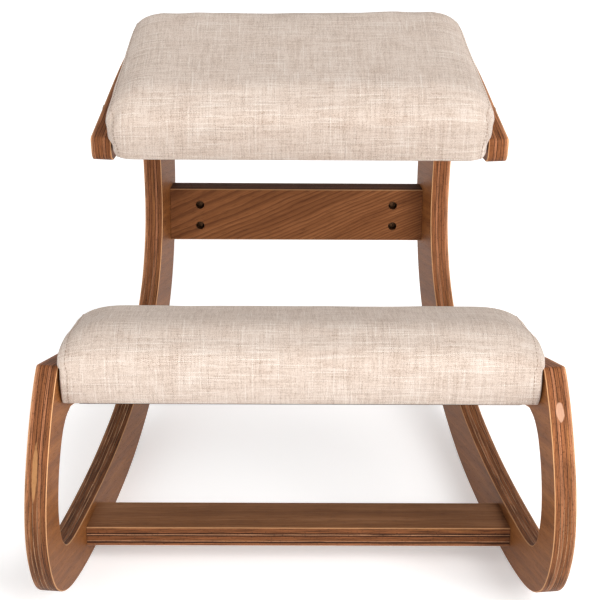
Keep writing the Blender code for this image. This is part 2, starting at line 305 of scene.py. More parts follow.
def edge_wood(mat, place, run, layers, thickness, shade, worn, skin, filler):
    """Colour and relief of a cut edge: its plies, glue lines, streaks and pits, any filler, and a dimming by
    shade that is partly the wood's own tone and partly painted shade.
    """
    depth, _, height = place
    low = mat.step(height, 0.09, 0.22, 1.0, 0.0)
    drift = mat.noise((run * 9.0, depth * 90.0), detail=3)
    level = depth * (1 / thickness) + drift * 0.04 + -0.02
    edge = mat.ramp(level, *layers, blend="CONSTANT")
    glue = [(start, WHITE if colour == GLUE else BLACK) for start, colour in layers]
    glue = mat.ramp(level, *glue, blend="CONSTANT")
    ply = mat.math("FLOOR", level * 9.0)
    present = mat.noise((ply * 3.71, run * 11.0))
    glue_colour = mat.mix(low * worn, GLUE, WORN_GLUE)
    edge = mat.mix(glue * mat.step(present, 0.36, 0.54, 0.15, 0.85), edge, glue_colour)
    golden = mat.noise((ply * 1.9, run * 9.0, 8.0))
    edge = mat.mix(mat.step(golden, 0.56, 0.72, 0.0, 0.35), edge, GOLD)
    dark = mat.noise((depth * 900.0, run * 16.0, 2.0), detail=4, roughness=0.65)
    dark = mat.step(dark + low * (0.05 * worn), 0.54, 0.64, 0.0, 0.66)
    edge = mat.mix(dark, edge, srgb(62, 36, 23))
    pits = mat.step(mat.noise((depth * 1300.0, run * 330.0)), 0.58, 0.72)
    edge = mat.mix(pits * 0.60, edge, srgb(44, 25, 15))
    streak = mat.noise((depth * 1500.0, run * 26.0), detail=4, roughness=0.7)
    cloud = mat.noise((depth * 150.0, run * 7.0, 5.0), detail=3)
    # Painted shade, in part: the edge is dimmed from shade[1] low down to shade[0] higher up, partly the
    # wood's darker tone and partly shade painted in
    fade = mat.step(height, 0.09, 0.22, shade[1], shade[0])
    light = mat.step(streak, 0.32, 0.68, 0.52, 1.46) * (cloud * 0.42 + 0.80) * fade
    edge = mat.dim(edge, light)
    outer = mat.math("ABSOLUTE", level + -0.5)
    outer = mat.step(outer, SKIN_START - 0.004, SKIN_START + 0.004, 0.0, skin)
    edge = mat.mix(outer * (low * -0.45 + 1.0), edge, SKIN)
    if filler:
        *spot, colour = filler
        edge = mat.mix(patch(mat, place, *spot) * 0.80, edge, colour)
    return edge, streak * 0.7 + dark * -0.6 + pits * -1.4


def wood(name, slope=-14.0, figure=85.0, fan=0.0, figure_depth=0.11, middle=0.0,
         layers=PANEL_LAYERS, thickness=PLY, face_tint=(0.99, 0.96, 0.87), edge_tone_and_painted_shade=(1.0, 1.0),
         worn=0.0, skin=0.85, filler=None, seed=0.0):
    """Stained plywood: veneered faces, and edges that show every ply. The slope is in degrees."""
    mat = Shader(name)
    place = mat.split(mat.attribute("wood_place", "Vector"))
    rim = mat.attribute("wood_rim", "Fac")
    run = mat.attribute("wood_run", "Fac") + seed

    tone, line, pores = veneer(mat, place, math.radians(slope), figure, fan, middle)
    stain = [srgb(*(part * tint for part, tint in zip(colour, face_tint)))
             for colour in ((104, 62, 34), (136, 86, 49), (162, 108, 66))]
    face = mat.ramp(tone, *zip((0.30, 0.50, 0.70), stain))
    face = mat.mix(line * figure_depth, face, srgb(70, 36, 18))
    face = mat.mix(pores * 0.45, face, srgb(60, 33, 18))
    # Faces darker towards the bottom
    face = mat.dim(face, mat.step(place[2], 0.08, 0.24, 0.84, 1.0))
    face_relief = tone * 0.6 + pores * -0.8 + line * -0.3
    edge, edge_relief = edge_wood(mat, place, run, layers, thickness, edge_tone_and_painted_shade, worn, skin, filler)

    relief = face_relief * (rim * -1.0 + 1.0) + edge_relief * rim
    mat.set(Base_Color=mat.mix(rim, face, edge), Specular_IOR_Level=0.09,
            Roughness=rim * 0.10 + 0.44 + pores * 0.12 + tone * 0.08,
            Normal=mat.bump(relief, 0.00022))
    return mat.data


def thread_set(mat, count, run, side, rare):
    """A set of threads: which one a point is on, its tone, how much of a slub, and its roundness."""
    thread = mat.math("FLOOR", count)
    own = mat.noise((thread * 5.37, run * 42.0, side), roughness=0.6)
    band = mat.noise((thread * 0.41, run * 9.0, side + 7.0))
    slub = mat.noise((thread * 0.83, run * 15.0, side + 3.0), detail=1)
    arch = mat.math("SINE", mat.math("FRACT", count) * math.pi)
    return thread, own * 0.62 + band * 0.38, mat.step(slub, rare, rare + 0.14), arch


def linen():
    """Slubbed linen: two sets of threads of uneven thickness and tone, woven over and under."""
    mat = Shader("beige_linen")
    across, along, _ = mat.split(mat.output("ShaderNodeUVMap", {}, uv_map="weave"))
    warp, *warp_look, warp_arch = thread_set(mat, across * THREADS_PER_METRE, along, 0.0, 0.60)
    weft, *weft_look, weft_arch = thread_set(mat, along * THREADS_PER_METRE, across, 20.0, 0.555)
    over = mat.math("PINGPONG", warp + weft, 1.0)
    fleck = mat.output("ShaderNodeTexWhiteNoise", {"Vector": (warp, weft)})
    cloud = mat.noise((across * 30.0, along * 30.0), detail=3)

    def thread(tone, slub):
        level = tone * 1.25 + fleck * 0.20 + cloud * 0.24 + -0.345
        colour = mat.ramp(level, (0.26, srgb(176, 150, 132)), (0.50, srgb(220, 201, 186)),
                          (0.74, srgb(238, 224, 212)))
        return mat.mix(slub * 0.8, colour, srgb(251, 243, 234))

    colour = mat.mix(over, thread(*warp_look), thread(*weft_look))
    # Painted shade: the colour darkens where the threads round down into the gaps between them
    low = mat.math("MINIMUM", warp_arch, weft_arch)
    colour = mat.mix(mat.step(low, 0.0, 0.40, 0.42, 0.0), colour, srgb(150, 118, 98))
    top = mat.math("MAXIMUM", warp_arch * (over * -0.5 + 1.0), weft_arch * (over * 0.5 + 0.5))
    relief = top + warp_look[1] * 0.6 + weft_look[1] * 0.6
    mat.set(Base_Color=colour, Roughness=0.92, Specular_IOR_Level=0.2, Sheen_Weight=0.15,
            Sheen_Roughness=0.45, Normal=mat.bump(relief, 0.00045))
    return mat.data


def plain_plywood():
    mat = Shader("plain_plywood")
    x, y, z = mat.split(mat.place())
    grain = mat.noise((x * 12.0, y * 420.0, z * 300.0), detail=3, roughness=0.6)
    return mat.two_tone(grain, (176, 140, 98), (216, 184, 140), grain, 0.0002,
                        Roughness=grain * 0.15 + 0.6)


def foam_rubber():
    mat = Shader("foam_rubber")
    inputs = {"Vector": mat.place(), "Scale": 4500.0}
    cells = mat.output("ShaderNodeTexVoronoi", inputs, "Distance")
    return mat.two_tone(cells, (206, 190, 134), (236, 224, 176), cells, 0.0004, low=0.1, Roughness=0.95)


def non_woven():
    mat = Shader("non_woven_cloth")
    place = mat.place()
    x, y, _ = mat.split(place)
    grid = mat.math("SINE", x * 2400.0) * mat.math("SINE", y * 2400.0)
    hairs = mat.noise(place, 1400.0, detail=3, roughness=0.7)
    return mat.two_tone(hairs, (24, 24, 26), (52, 52, 55), grid * 0.4 + hairs, 0.0003,
                        Roughness=0.92, Specular_IOR_Level=0.2)


def metal(name, dark, light, roughness):
    mat = Shader(name)
    wear = mat.noise(mat.place(), 420.0, detail=4, roughness=0.65)
    return mat.two_tone(wear, dark, light, wear, 0.00006, Metallic=1.0,
                        Roughness=wear * 0.2 + roughness)


def sewing_thread():
    mat = Shader("sewing_thread")
    twist = mat.noise(mat.place(), 3500.0, detail=1)
    return mat.two_tone(twist, (142, 118, 102), (190, 166, 148), twist, 0.0002, Roughness=0.8)


# ---- placing

def closed(ring):
    """Each item of a ring with the one after it."""
    return list(zip(ring, ring[1:] + ring[:1]))


def signed_area(ring):
    return sum(a[0] * b[1] - a[1] * b[0] for a, b in closed(ring)) / 2


def running_lengths(points):
    """How far along a line each of its points lies."""
    runs = [0.0]
    for start, stop in zip(points, points[1:]):
        runs.append(runs[-1] + (stop - start).length)
    return runs


def link(name, data):
    """A new object in the scene."""
    made = bpy.data.objects.new(name, data)
    bpy.context.scene.collection.objects.link(made)
    return made


def finished(bm, name):
    """A closed or flat shape as a mesh, its faces turned outwards."""
    bmesh.ops.recalc_face_normals(bm, faces=bm.faces)
    mesh = bpy.data.meshes.new(name)
    bm.to_mesh(mesh)
    bm.free()
    return mesh


def add_piece(name, shape, material, slot, replaced=(), smooth=True):
    """Link a shape in row-frame coordinates as a piece that rides on the only body."""
    mesh = finished(shape, name) if isinstance(shape, bmesh.types.BMesh) else shape
    piece = link(name, mesh)
    mesh.materials.clear()
    mesh.materials.append(material)
    if smooth:
        mesh.shade_smooth()
    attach(piece, "root")
    if replaced:
        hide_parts(*replaced)
    return piece


def evaluated_mesh(piece):
    """A new mesh of the piece with its modifiers applied."""
    bpy.context.view_layer.update()
    graph = bpy.context.evaluated_depsgraph_get()
    return bpy.data.meshes.new_from_object(piece.evaluated_get(graph), depsgraph=graph)


def cut_away(bm, cutters, name):
    """A mesh of one shape with others taken out of it."""
    body, tool = link("body", finished(bm, name)), link("tool", finished(cutters, "tool"))
    cut = body.modifiers.new("cut", "BOOLEAN")
    cut.operation = "DIFFERENCE"
    cut.object = tool
    mesh = evaluated_mesh(body)
    mesh.name = name
    bpy.data.objects.remove(body)
    bpy.data.objects.remove(tool)
    return mesh


def walls(bm, loops):
    """The faces between closed loops of vertices that follow each other."""
    for low, high in zip(loops, loops[1:]):
        for (first, second), (fourth, third) in zip(closed(low), closed(high)):
            bm.faces.new((first, second, third, fourth))


def loft(bm, rings):
    """A solid through rings of points, with flat ends."""
    loops = [[bm.verts.new(point) for point in ring] for ring in rings]
    walls(bm, loops)
    bm.faces.new(loops[0][::-1])
    bm.faces.new(loops[-1])


def crisp(mesh):
    """Shade a metal part smooth except at its sharp edges."""
    mesh.shade_smooth()
    mesh.set_sharp_from_angle(angle=math.radians(32))
    return mesh


def panel_matrix(side):
    """From a side panel's own axes to the row frame. Side is -1 on the left and 1 on the right."""
    place = Matrix.Translation((side * HALF_GAP, 0, 0)) @ Matrix.Rotation(side * TOE_IN, 4, "Z")
    return place @ Matrix.Diagonal((side, 1, 1, 1))


def inner_half_width(y):
    return HALF_GAP - math.tan(TOE_IN) * y


def node_middle(name):
    low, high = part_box(name)
    return (low + high) / 2


# ---- side panels

def cad_outline(node, side):
    """The outline of a side frame's inner face, as (along, height) points in order."""
    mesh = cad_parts[node].data
    back = panel_matrix(side).inverted()
    local = [back @ vertex.co for vertex in mesh.vertices]
    keys = [(round(p.y, 6), round(p.z, 6)) for p in local]
    following = {}
    edges = set()
    for face in mesh.polygons:
        if all(abs(local[index].x) < 1e-5 for index in face.vertices):
            edges.update(closed([keys[index] for index in face.vertices]))
    for start, stop in edges:
        if (stop, start) not in edges:
            following[start] = stop
    loops = []
    while following:
        start, stop = following.popitem()
        loop = [start]
        while stop != loop[0]:
            loop.append(stop)
            stop = following.pop(stop)
        loops.append(loop)
    longest = max(loops, key=len)
    return [Vector(point) for point in (longest if signed_area(longest) > 0 else longest[::-1])]


def smooth_loop(points, steps):
    """A closed curve through every point, with tangents that allow for uneven spacing."""
    chords = [stop - start for start, stop in closed(points)]
    slopes = []
    for before, after in zip(chords[-1:] + chords, chords):
        short, long = sorted((before, after), key=lambda chord: chord.length)
        if long.length > STRAIGHT_RUN * short.length:
            slopes.append(long.normalized())
        else:
            blend = before.normalized() * after.length + after.normalized() * before.length
            slopes.append(blend / (before.length + after.length))
    curve = []
    for (start, stop), (out, into) in zip(closed(points), closed(slopes)):
        third = (stop - start).length / 3
        curve += interpolate_bezier(start, start + out * third, stop - into * third, stop, steps + 1)[:-1]
    return curve


def eased_rings(curve):
    """(depth, points) rings through the panel, drawn in a little at both faces."""
    inward = []
    for before, after in zip(curve[-1:] + curve, curve[1:] + curve[:1]):
        inward.append(Vector((before.y - after.y, after.x - before.x)).normalized())
    profile = []
    for step in range(EASED_STEPS + 1):
        turn = QUARTER * step / EASED_STEPS
        profile.append((EASED_EDGE * (1 - math.cos(turn)), EASED_EDGE * (1 - math.sin(turn))))
    profile += [(PLY - depth, inset) for depth, inset in reversed(profile)]
    return [(depth, [point + way * inset for point, way in zip(curve, inward)])
            for depth, inset in profile]


def side_panel(name, node, side, material):
    """A plywood side panel with eased edges, on the CAD side frame's own outline."""
    curve = smooth_loop(cad_outline(node, side), OUTLINE_STEPS)
    runs = running_lengths(curve + curve[:1])
    bm = bmesh.new()
    wood_place = bm.loops.layers.float_vector.new("wood_place")
    wood_run = bm.loops.layers.float.new("wood_run")
    wood_rim = bm.loops.layers.float.new("wood_rim")
    loops = [[bm.verts.new((depth, p.x, p.y)) for p in ring] for depth, ring in eased_rings(curve)]

    def fill(corners, corner_runs, rim):
        face = bm.faces.new(corners)
        face.smooth = bool(rim)
        for corner, run in zip(face.loops, corner_runs):
            corner[wood_place] = corner.vert.co
            corner[wood_run] = run
            corner[wood_rim] = rim

    for low, high in zip(loops, loops[1:]):
        sides = zip(closed(low), closed(high), zip(runs, runs[1:]))
        for (first, second), (fourth, third), (begin, end) in sides:
            fill((first, second, third, fourth), (begin, end, end, begin), 1.0)
    for loop in (loops[0], loops[-1]):
        for triangle in tessellate_polygon([[vert.co for vert in loop]]):
            fill([loop[index] for index in triangle], (0.0, 0.0, 0.0), 0.0)
    bmesh.ops.transform(bm, matrix=panel_matrix(side), verts=bm.verts)
    return add_piece(name, bm, material, "walnut_plywood", (node,), smooth=False)


# ---- crossbars

def rounded_rectangle(low, high, radius, steps):
    ring = []
    corners = ((high[0] - radius, high[1] - radius, 0), (low[0] + radius, high[1] - radius, 1),
               (low[0] + radius, low[1] + radius, 2), (high[0] - radius, low[1] + radius, 3))
    for y, z, quarter in corners:
        for step in range(steps + 1):
            turn = QUARTER * (quarter + step / steps)
            ring.append((y + radius * math.cos(turn), z + radius * math.sin(turn)))
    return ring


def bore_cutters(middles, way):
    """Round cutters from just past each nut out through the mouth of its bore."""
    bm = bmesh.new()
    beyond = NUT_LENGTH / 2 + BAR_GAP
    turn = Vector((0, 0, 1)).rotation_difference(way).to_matrix().to_4x4()
    for middle in middles:
        centre = middle + way * ((BORE_REACH + beyond) / 2 - beyond)
        bmesh.ops.create_cone(bm, cap_ends=True, segments=40, radius1=NUT_BORE / 2,
                              radius2=NUT_BORE / 2, depth=BORE_REACH + beyond,
                              matrix=Matrix.Translation(centre) @ turn)
    return bm


def crossbar(node, way, material):
    """A plank with eased edges and mitred ends. Way is where its nut bores open."""
    (_, y0, z0), (_, y1, z1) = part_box(node)
    section = rounded_rectangle((y0, z0), (y1, z1), EASED_EDGE, EASED_STEPS)
    stops = [step / BAR_STEPS * 2 - 1 for step in range(BAR_STEPS + 1)]
    bm = bmesh.new()
    loft(bm, [[(stop * (inner_half_width(y) - BAR_GAP), y, z) for y, z in section] for stop in stops])
    nuts = [node_middle(f"{node}_nut_{side}_{place}") for side in ("left", "right") for place in "ab"]
    mesh = cut_away(bm, bore_cutters(nuts, way), node)

    upright = abs(way.y) > 0.5
    place, run, rim = [], [], []
    for face in mesh.polygons:
        through = abs(face.normal.y if upright else face.normal.z)
        inside = any((face.center - nut).cross(way).length < NUT_BORE * 0.52 for nut in nuts)
        face.use_smooth = through < 0.985 and abs(face.normal.x) < 0.5 or inside
        for index in face.loop_indices:
            point = mesh.vertices[mesh.loops[index].vertex_index].co
            depth, height = (point.y - y0, point.z) if upright else (point.z - z0, point.y)
            place += [depth, point.x, height]
            run.append(point.x)
            rim.append(float(through < 0.985 or inside))
    new = mesh.attributes.new
    new("wood_place", "FLOAT_VECTOR", "CORNER").data.foreach_set("vector", place)
    new("wood_run", "FLOAT", "CORNER").data.foreach_set("value", run)
    new("wood_rim", "FLOAT", "CORNER").data.foreach_set("value", rim)
    mesh.set_sharp_from_angle(angle=math.radians(40))
    name = node.replace("crossbar", "bar")
    return add_piece(name, mesh, material, "walnut_plywood", (node,), smooth=False)


# ---- cushions

def cushion_frame(cushion):
    """From a cushion's own axes (x across, y along its board, z out of it) to the row frame."""
    y, z = cushion.front
    return Matrix.Translation((0, y, z)) @ Matrix.Rotation(cushion.tilt, 4, "X")


def clamp(t):
    return min(max(t, 0.0), 1.0)


def smooth(t):
    """A smooth step from 0 to 1."""
    t = clamp(t)
    return t * t * (3 - 2 * t)


def along_side(cushion, key, part):
    """A measure that changes from the cushion's front to its back, at a share of the way."""
    front, rear = getattr(cushion, key)
    return front + (rear - front) * part


def spread(cushion, along, up):
    """How far the foam spreads sideways over the rails at a place on the cushion's side."""
    part = along / cushion.depth
    left = 1 - clamp((up - along_side(cushion, "rail", part)) / BULGE_HEIGHT)
    over = math.sqrt(1 - left * left)
    free = 0.0
    if cushion.free_front:
        free = 1 - smooth((along - cushion.free_front / 2) / cushion.free_front)
    return along_side(cushion, "flare", part) * (over * (1 - free) + smooth(up / 0.034) * free)


def levels(cushion, part):
    """The heights of the rows of cells at a share of the way back."""
    below, above = cushion.cells[2]
    rail = along_side(cushion, "rail", part)
    low = BOTTOM_EDGE - FABRIC
    high = rail + BULGE_STEPS[-1]
    rows = [-FABRIC] + [low + (rail - low) * step / below for step in range(below)]
    rows += [rail + step for step in BULGE_STEPS]
    return rows + [high + (cushion.height - high) * (step + 1) / above for step in range(above)]


def cell_counts(cushion):
    across, along, (below, above) = cushion.cells
    return across, along, below + above + len(BULGE_STEPS)


def past(value, limit, size):
    """How far a value lies past a limit, in parts of a size."""
    return max(value - limit, 0.0) / size


def rounded(first, second):
    """Two shares of the way into a corner, from 0 to 1 each, moved onto a quarter circle."""
    if min(first, second) <= 0:
        return first, second
    full = max(first, second) / math.hypot(first, second)
    return first * full, second * full


def cushion_shape(cushion, cell, shrink):
    """Where a surface point of the cushion's block of cells lies before it is inflated."""
    nx, ny, _ = cell_counts(cushion)
    depth, height, edge = cushion.depth, cushion.height, cushion.edge
    reach, roll = cushion.reach, cushion.roll
    part = cell[1] / ny
    along = part * depth
    middle = depth / 2
    up = levels(cushion, part)[cell[2]]
    rail = along_side(cushion, "rail", part)
    row_y = (cushion_frame(cushion) @ Vector((0, along, up))).y
    half = inner_half_width(row_y) - SIDE_GAP - shrink + spread(cushion, along, up)

    x = abs(cell[0] / nx * 2 - 1) * half
    outer = past(x, half - roll, roll)
    x = min(x, half - roll) + roll * math.sin(outer * QUARTER)
    off = abs(along - middle)
    end, rise = rounded(past(off, middle - reach, reach), past(up, height - edge, edge))
    off = min(off, middle - reach) + reach * end
    up = min(up, height - edge) + edge * rise
    corner = cushion.front_corner if part < 0.5 else cushion.rear_corner
    side, end = rounded(past(x, half - corner, corner), past(off, middle - corner, corner))
    x = min(x, half - corner) + corner * side
    off = min(off, middle - corner) + corner * end
    if up > rail:
        drop = cushion.shoulder * (1 - math.cos(outer * QUARTER)) / (height - rail)
        up = rail + (up - rail) * (1 - drop)

    x = math.copysign(x, cell[0] / nx - 0.5)
    y = middle + math.copysign(off, along - middle)
    if cell[2] == 0:
        x -= math.copysign(min(BOTTOM_EDGE, abs(x)), x) if cell[0] in (0, nx) else 0
        y -= BOTTOM_EDGE * (cell[1] == ny)
    under = clamp(1 - (up + FABRIC) / UNDER_HEIGHT)
    y += cushion.turn_under * (1 - math.sqrt(1 - under * under)) * max(1 - y / middle, 0.0)
    share = max(up, 0.0) / height
    back = y / depth
    x += cushion.skew * share * back
    front = max(1 - back, 0.0) ** 2
    y -= front * (cushion.lean * max(up, 0.0) + cushion.belly * math.sin(math.pi * min(share, 1.0)))
    up += cushion.rear_rise * share * smooth(back)
    return Vector((x, y, up - (shrink if up > BOARD else 0)))


def block_faces(cells):
    """Every square on the skin of a block of cells, with the panel it belongs to."""
    for axis in range(3):
        u, v = (axis + 1) % 3, (axis + 2) % 3
        for end in (0, 1):
            for i in range(cells[u]):
                for j in range(cells[v]):
                    ring = []
                    for di, dj in ((0, 0), (1, 0), (1, 1), (0, 1)):
                        corner = {axis: end * cells[axis], u: i + di, v: j + dj}
                        ring.append((corner[0], corner[1], corner[2]))
                    yield (ring if end else ring[::-1]), axis, end


def girth_at(cushion, cell, girth):
    """How far a cell's corner is round the main panel, from under the front to under the back."""
    _, ny, nz = cell_counts(cushion)
    _, j, k = cell
    if k == nz:
        return girth[nz + j]
    if j == 0:
        return girth[k]
    if j == ny:
        return girth[nz + ny + (nz - k)]
    return girth[-1] + (ny - j) * cushion.depth / ny


def cushion_block(cushion, shrink=0.0008):
    """The cushion's skin as a block of cells, with its weave laid out panel by panel."""
    nx, ny, nz = cell_counts(cushion)
    matrix = cushion_frame(cushion)
    bm = bmesh.new()
    weave = bm.loops.layers.uv.new("weave")
    vertices = {}

    def vertex(cell):
        if cell not in vertices:
            vertices[cell] = bm.verts.new(matrix @ cushion_shape(cushion, cell, shrink))
        return vertices[cell]

    way = [(nx // 2, 0, k) for k in range(nz)] + [(nx // 2, j, nz) for j in range(ny)]
    way += [(nx // 2, ny, k) for k in range(nz, -1, -1)]
    girth = running_lengths([cushion_shape(cushion, cell, shrink) for cell in way])
    for ring, axis, end in block_faces((nx, ny, nz)):
        face = bm.faces.new([vertex(cell) for cell in ring])
        for corner, cell in zip(face.loops, ring):
            flat = cushion_shape(cushion, cell, shrink)
            if axis == 0:
                corner[weave].uv = (3.0 + flat.y + end, flat.z + 3.0)
            elif axis == 2 and end == 0:
                corner[weave].uv = (flat.x, 2.0 + flat.y)
            else:
                corner[weave].uv = (flat.x, girth_at(cushion, cell, girth))
    order = {cell: index for index, cell in enumerate(vertices)}
    return finished(bm, cushion.name + "_cushion"), order


def calm(values, links, rounds):
    """Even a value out between the neighbouring corners of a mesh."""
    first, second = links[:, 0], links[:, 1]
    size = len(values)
    neighbours = np.bincount(links.ravel(), minlength=size)
    for _ in range(rounds):
        total = np.bincount(first, values[second], size) + np.bincount(second, values[first], size)
        values = (values + total / neighbours) / 2
    return values


def inflate(mesh, cushion):
    """Blow the cover up with a cloth simulation, held where it is fixed round the board."""
    piece = link("inflating", mesh)
    back = cushion_frame(cushion).inverted()
    heights = [(back @ vertex.co).z for vertex in mesh.vertices]
    start = np.array([vertex.co for vertex in mesh.vertices])
    outward = np.array([vertex.normal for vertex in mesh.vertices])
    links = np.array([tuple(edge.vertices) for edge in mesh.edges])
    held = piece.vertex_groups.new(name="held")
    for index, height in enumerate(heights):
        grip = 1.0 - clamp((height - GRIP_HEIGHT) / (BOARD - GRIP_HEIGHT))
        held.add([index], grip, "REPLACE")
    cloth = piece.modifiers.new("Cloth", "CLOTH")
    for name, value in CLOTH_SETTINGS.items():
        setattr(cloth.settings, name, value)
    cloth.settings.effector_weights.gravity = 0.0
    cloth.collision_settings.use_collision = False
    cloth.point_cache.frame_start = 1
    cloth.point_cache.frame_end = SIM_FRAMES
    scene = bpy.context.scene
    for number in range(1, SIM_FRAMES + 1):
        scene.frame_set(number)
    moved = evaluated_mesh(piece)
    stop = np.array([vertex.co for vertex in moved.vertices])
    scene.frame_set(1)
    bpy.data.objects.remove(piece)
    bpy.data.meshes.remove(moved)
    shift = stop - start
    swell = (shift * outward).sum(axis=1)
    slide = shift - swell[:, None] * outward
    cap = np.where(swell > 0, cushion.bulge, FOAM_GIVE)
    swell = calm(cap * np.tanh(swell / cap), links, CALM_ROUNDS) * (np.array(heights) > GRIP_HEIGHT)
    return start + outward * swell[:, None] + slide * SLIDE_KEPT


def settle(mesh, places, order, cushion):
    """Keep the cover off the rails, draw its seams in and give it the unevenness of hand work."""
    matrix = cushion_frame(cushion)
    back = matrix.inverted()
    centre = Vector((0, cushion.depth / 2, BOARD))
    nx, ny, nz = cell_counts(cushion)
    seam = cushion.seam
    for cell, index in order.items():
        point = back @ Vector(places[index])
        i, j, k = cell
        ease = clamp((point.z - 0.002) / 0.02)
        wave = noise.noise(Vector((point.x * 14, point.y * 14, point.z * 20 + nx)))
        fine = noise.noise(Vector((point.x * 45, point.y * 45, point.z * 45 + ny)))
        way = (point - centre).normalized()
        point += way * ease * (WAVE * wave + FINE_WAVE * fine)
        if i in (seam, nx - seam) and (j in (0, ny) or k == nz) and k > 0:
            point -= way * SEAM_DEPTH
        point.z += cushion.lift_right * point.x / 0.2 * ease
        place = matrix @ point
        rail = along_side(cushion, "rail", point.y / cushion.depth)
        limit = inner_half_width(place.y) - SIDE_GAP + 0.04 * smooth((point.z - rail - 0.0004) / 0.004)
        if point.y < cushion.free_front:
            limit += 0.02
        place.x = min(max(place.x, -limit), limit)
        mesh.vertices[index].co = place


def make_cushion(cushion, fabric):
    """A cushion's cover: laid out, inflated, seamed and then subdivided once. Gives its seams."""
    name = cushion.name + "_cushion"
    mesh, order = cushion_block(cushion)
    places = inflate(mesh.copy(), cushion)
    settle(mesh, places, order, cushion)
    rough = link("rough", mesh)
    rough.modifiers.new("Subdivision", "SUBSURF").levels = 1
    fine = evaluated_mesh(rough)
    seams = seam_lines(mesh, order, cushion)
    bpy.data.objects.remove(rough)
    fine.name = name
    piece = add_piece(name, fine, fabric, "linen", (cushion.name + "_cover",))
    return seams


def seam_lines(mesh, order, cushion):
    """For each end, the seam's points and outward directions, from the front over to the back."""
    nx, ny, nz = cell_counts(cushion)
    seam = cushion.seam
    lines = []
    for side, i, inner in (("left", seam, seam + 1), ("right", nx - seam, nx - seam - 1)):
        up = [(0, k) for k in range(1, nz)]
        down = [(ny, k) for _, k in reversed(up)]
        line = []
        for j, k in up + [(j, nz) for j in range(ny + 1)] + down:
            place = mesh.vertices[order[(i, j, k)]].co
            beside = mesh.vertices[order[(inner, j, k)]]
            off = (beside.co - place).normalized() * STITCH_OFF_SEAM
            line.append((place + off, beside.normal.copy()))
        lines.append((side, line))
    return lines


def make_stitches(cushion, side, line, thread):
    """Short rounded stitches laid along a line of (point, outward) pairs."""
    bm = bmesh.new()
    runs = running_lengths([point for point, _ in line])

    def at(distance):
        index = max(i for i in range(len(runs)) if runs[i] <= distance or i == 0)
        index = min(index, len(line) - 2)
        t = (distance - runs[index]) / max(runs[index + 1] - runs[index], 1e-9)
        (start, first), (stop, second) = line[index:index + 2]
        return start.lerp(stop, t), first.lerp(second, t)

    turns = [QUARTER * q * 2 / 3 for q in range(6)]
    for number in range(int(runs[-1] / STITCH_PITCH)):
        rings = []
        for t, height, size in STITCH_PROFILE:
            distance = number * STITCH_PITCH + t * STITCH_LENGTH
            point, outward = at(distance)
            forward = (at(distance + 0.0005)[0] - point).normalized()
            outward = (outward - forward * outward.dot(forward)).normalized()
            across = forward.cross(outward)
            centre = point + outward * STITCH_RADIUS * height
            rings.append([centre + STITCH_RADIUS * size
                          * (across * math.cos(turn) + outward * math.sin(turn)) for turn in turns])
        loft(bm, rings)
    add_piece(f"{cushion.name}_stitches_{side}", bm, thread, "linen")


# ---- under and inside the cushions

def board_outline(cushion, inset, corner_steps=5):
    """The cushion's plan at its board, drawn in by inset, as (x, y) points on the cushion's axes."""
    matrix = cushion_frame(cushion)
    depth = cushion.depth
    ring = []
    for quarter, (across, back) in enumerate(((1, 0), (1, 1), (-1, 1), (-1, 0))):
        corner = cushion.rear_corner if back else cushion.front_corner
        radius = max(corner - inset, 0.004)
        along = depth - inset - radius if back else inset + radius
        for step in range(corner_steps + 1):
            turn = QUARTER * (quarter - 1 + step / corner_steps)
            y = along + radius * math.sin(turn)
            half = inner_half_width((matrix @ Vector((0, y, 0))).y) - inset - radius
            ring.append(Vector((across * half + radius * math.cos(turn), y)))
    return ring


def refine(ring, pitch):
    """The same closed line with points no further apart than pitch."""
    fine = []
    for start, stop in closed(ring):
        count = max(1, math.ceil((stop - start).length / pitch))
        fine += [start.lerp(stop, step / count) for step in range(count)]
    return fine


def make_dust_cloth(cushion, cloth):
    """The thin black cloth under a cushion, stapled over the hem of the cover."""
    matrix = cushion_frame(cushion)
    outline = refine(board_outline(cushion, HEM), 0.006)
    centre = Vector((0, cushion.depth / 2))
    bm = bmesh.new()
    rings = []
    for step in range(CLOTH_RINGS, 0, -1):
        share = step / CLOTH_RINGS
        ring = []
        for point in outline:
            flat = centre.lerp(point, share)
            lift = 0.0004 * noise.noise(Vector((flat.x * 30, flat.y * 30, 2.0)))
            sag = CLOTH_SAG * (1 - share ** 2)
            depth = -FABRIC - CLOTH_GAP - sag + lift * min(1.0, (1 - share) * 8)
            ring.append(bm.verts.new(matrix @ Vector((flat.x, flat.y, depth))))
        rings.append(ring)
    walls(bm, rings)
    hub = bm.verts.new(matrix @ Vector((0, centre.y, -FABRIC - CLOTH_GAP - CLOTH_SAG)))
    for first, second in closed(rings[-1]):
        bm.faces.new((first, second, hub))
    name = cushion.name
    piece = add_piece(name + "_bottom_cloth", bm, cloth, "dust_cloth", (name + "_dust_cloth",))
    thick = piece.modifiers.new("Thickness", "SOLIDIFY")
    thick.thickness = 0.0005
    thick.offset = 0
    abs(signed_area(outline))


def make_staples(cushion, steel):
    """Wire staples through the dust cloth and hem, a little crooked as a staple gun leaves them."""
    rng = random.Random(cushion.name)
    matrix = cushion_frame(cushion)
    line = refine(board_outline(cushion, HEM + 0.005), 0.001)
    bm = bmesh.new()
    count = round(len(line) * 0.001 / STAPLE_PITCH)
    for number in range(count):
        index = round(number * len(line) / count + rng.uniform(-4, 4)) % len(line)
        point, ahead = line[index], line[(index + 3) % len(line)]
        turn = math.atan2(ahead.y - point.y, ahead.x - point.x) + rng.uniform(-0.16, 0.16)
        place = matrix @ Matrix.Translation((point.x, point.y, -FABRIC - 0.0014))
        place = place @ Matrix.Rotation(turn, 4, "Z") @ Matrix.Diagonal(STAPLE_SIZE)
        crown = bmesh.ops.create_cube(bm, size=1.0, matrix=place)
        edges = list({edge for vert in crown["verts"] for edge in vert.link_edges})
        bmesh.ops.bevel(bm, geom=edges, offset=0.0002, segments=2, affect="EDGES")
    add_piece(cushion.name + "_staples", bm, steel, "zinc_steel")


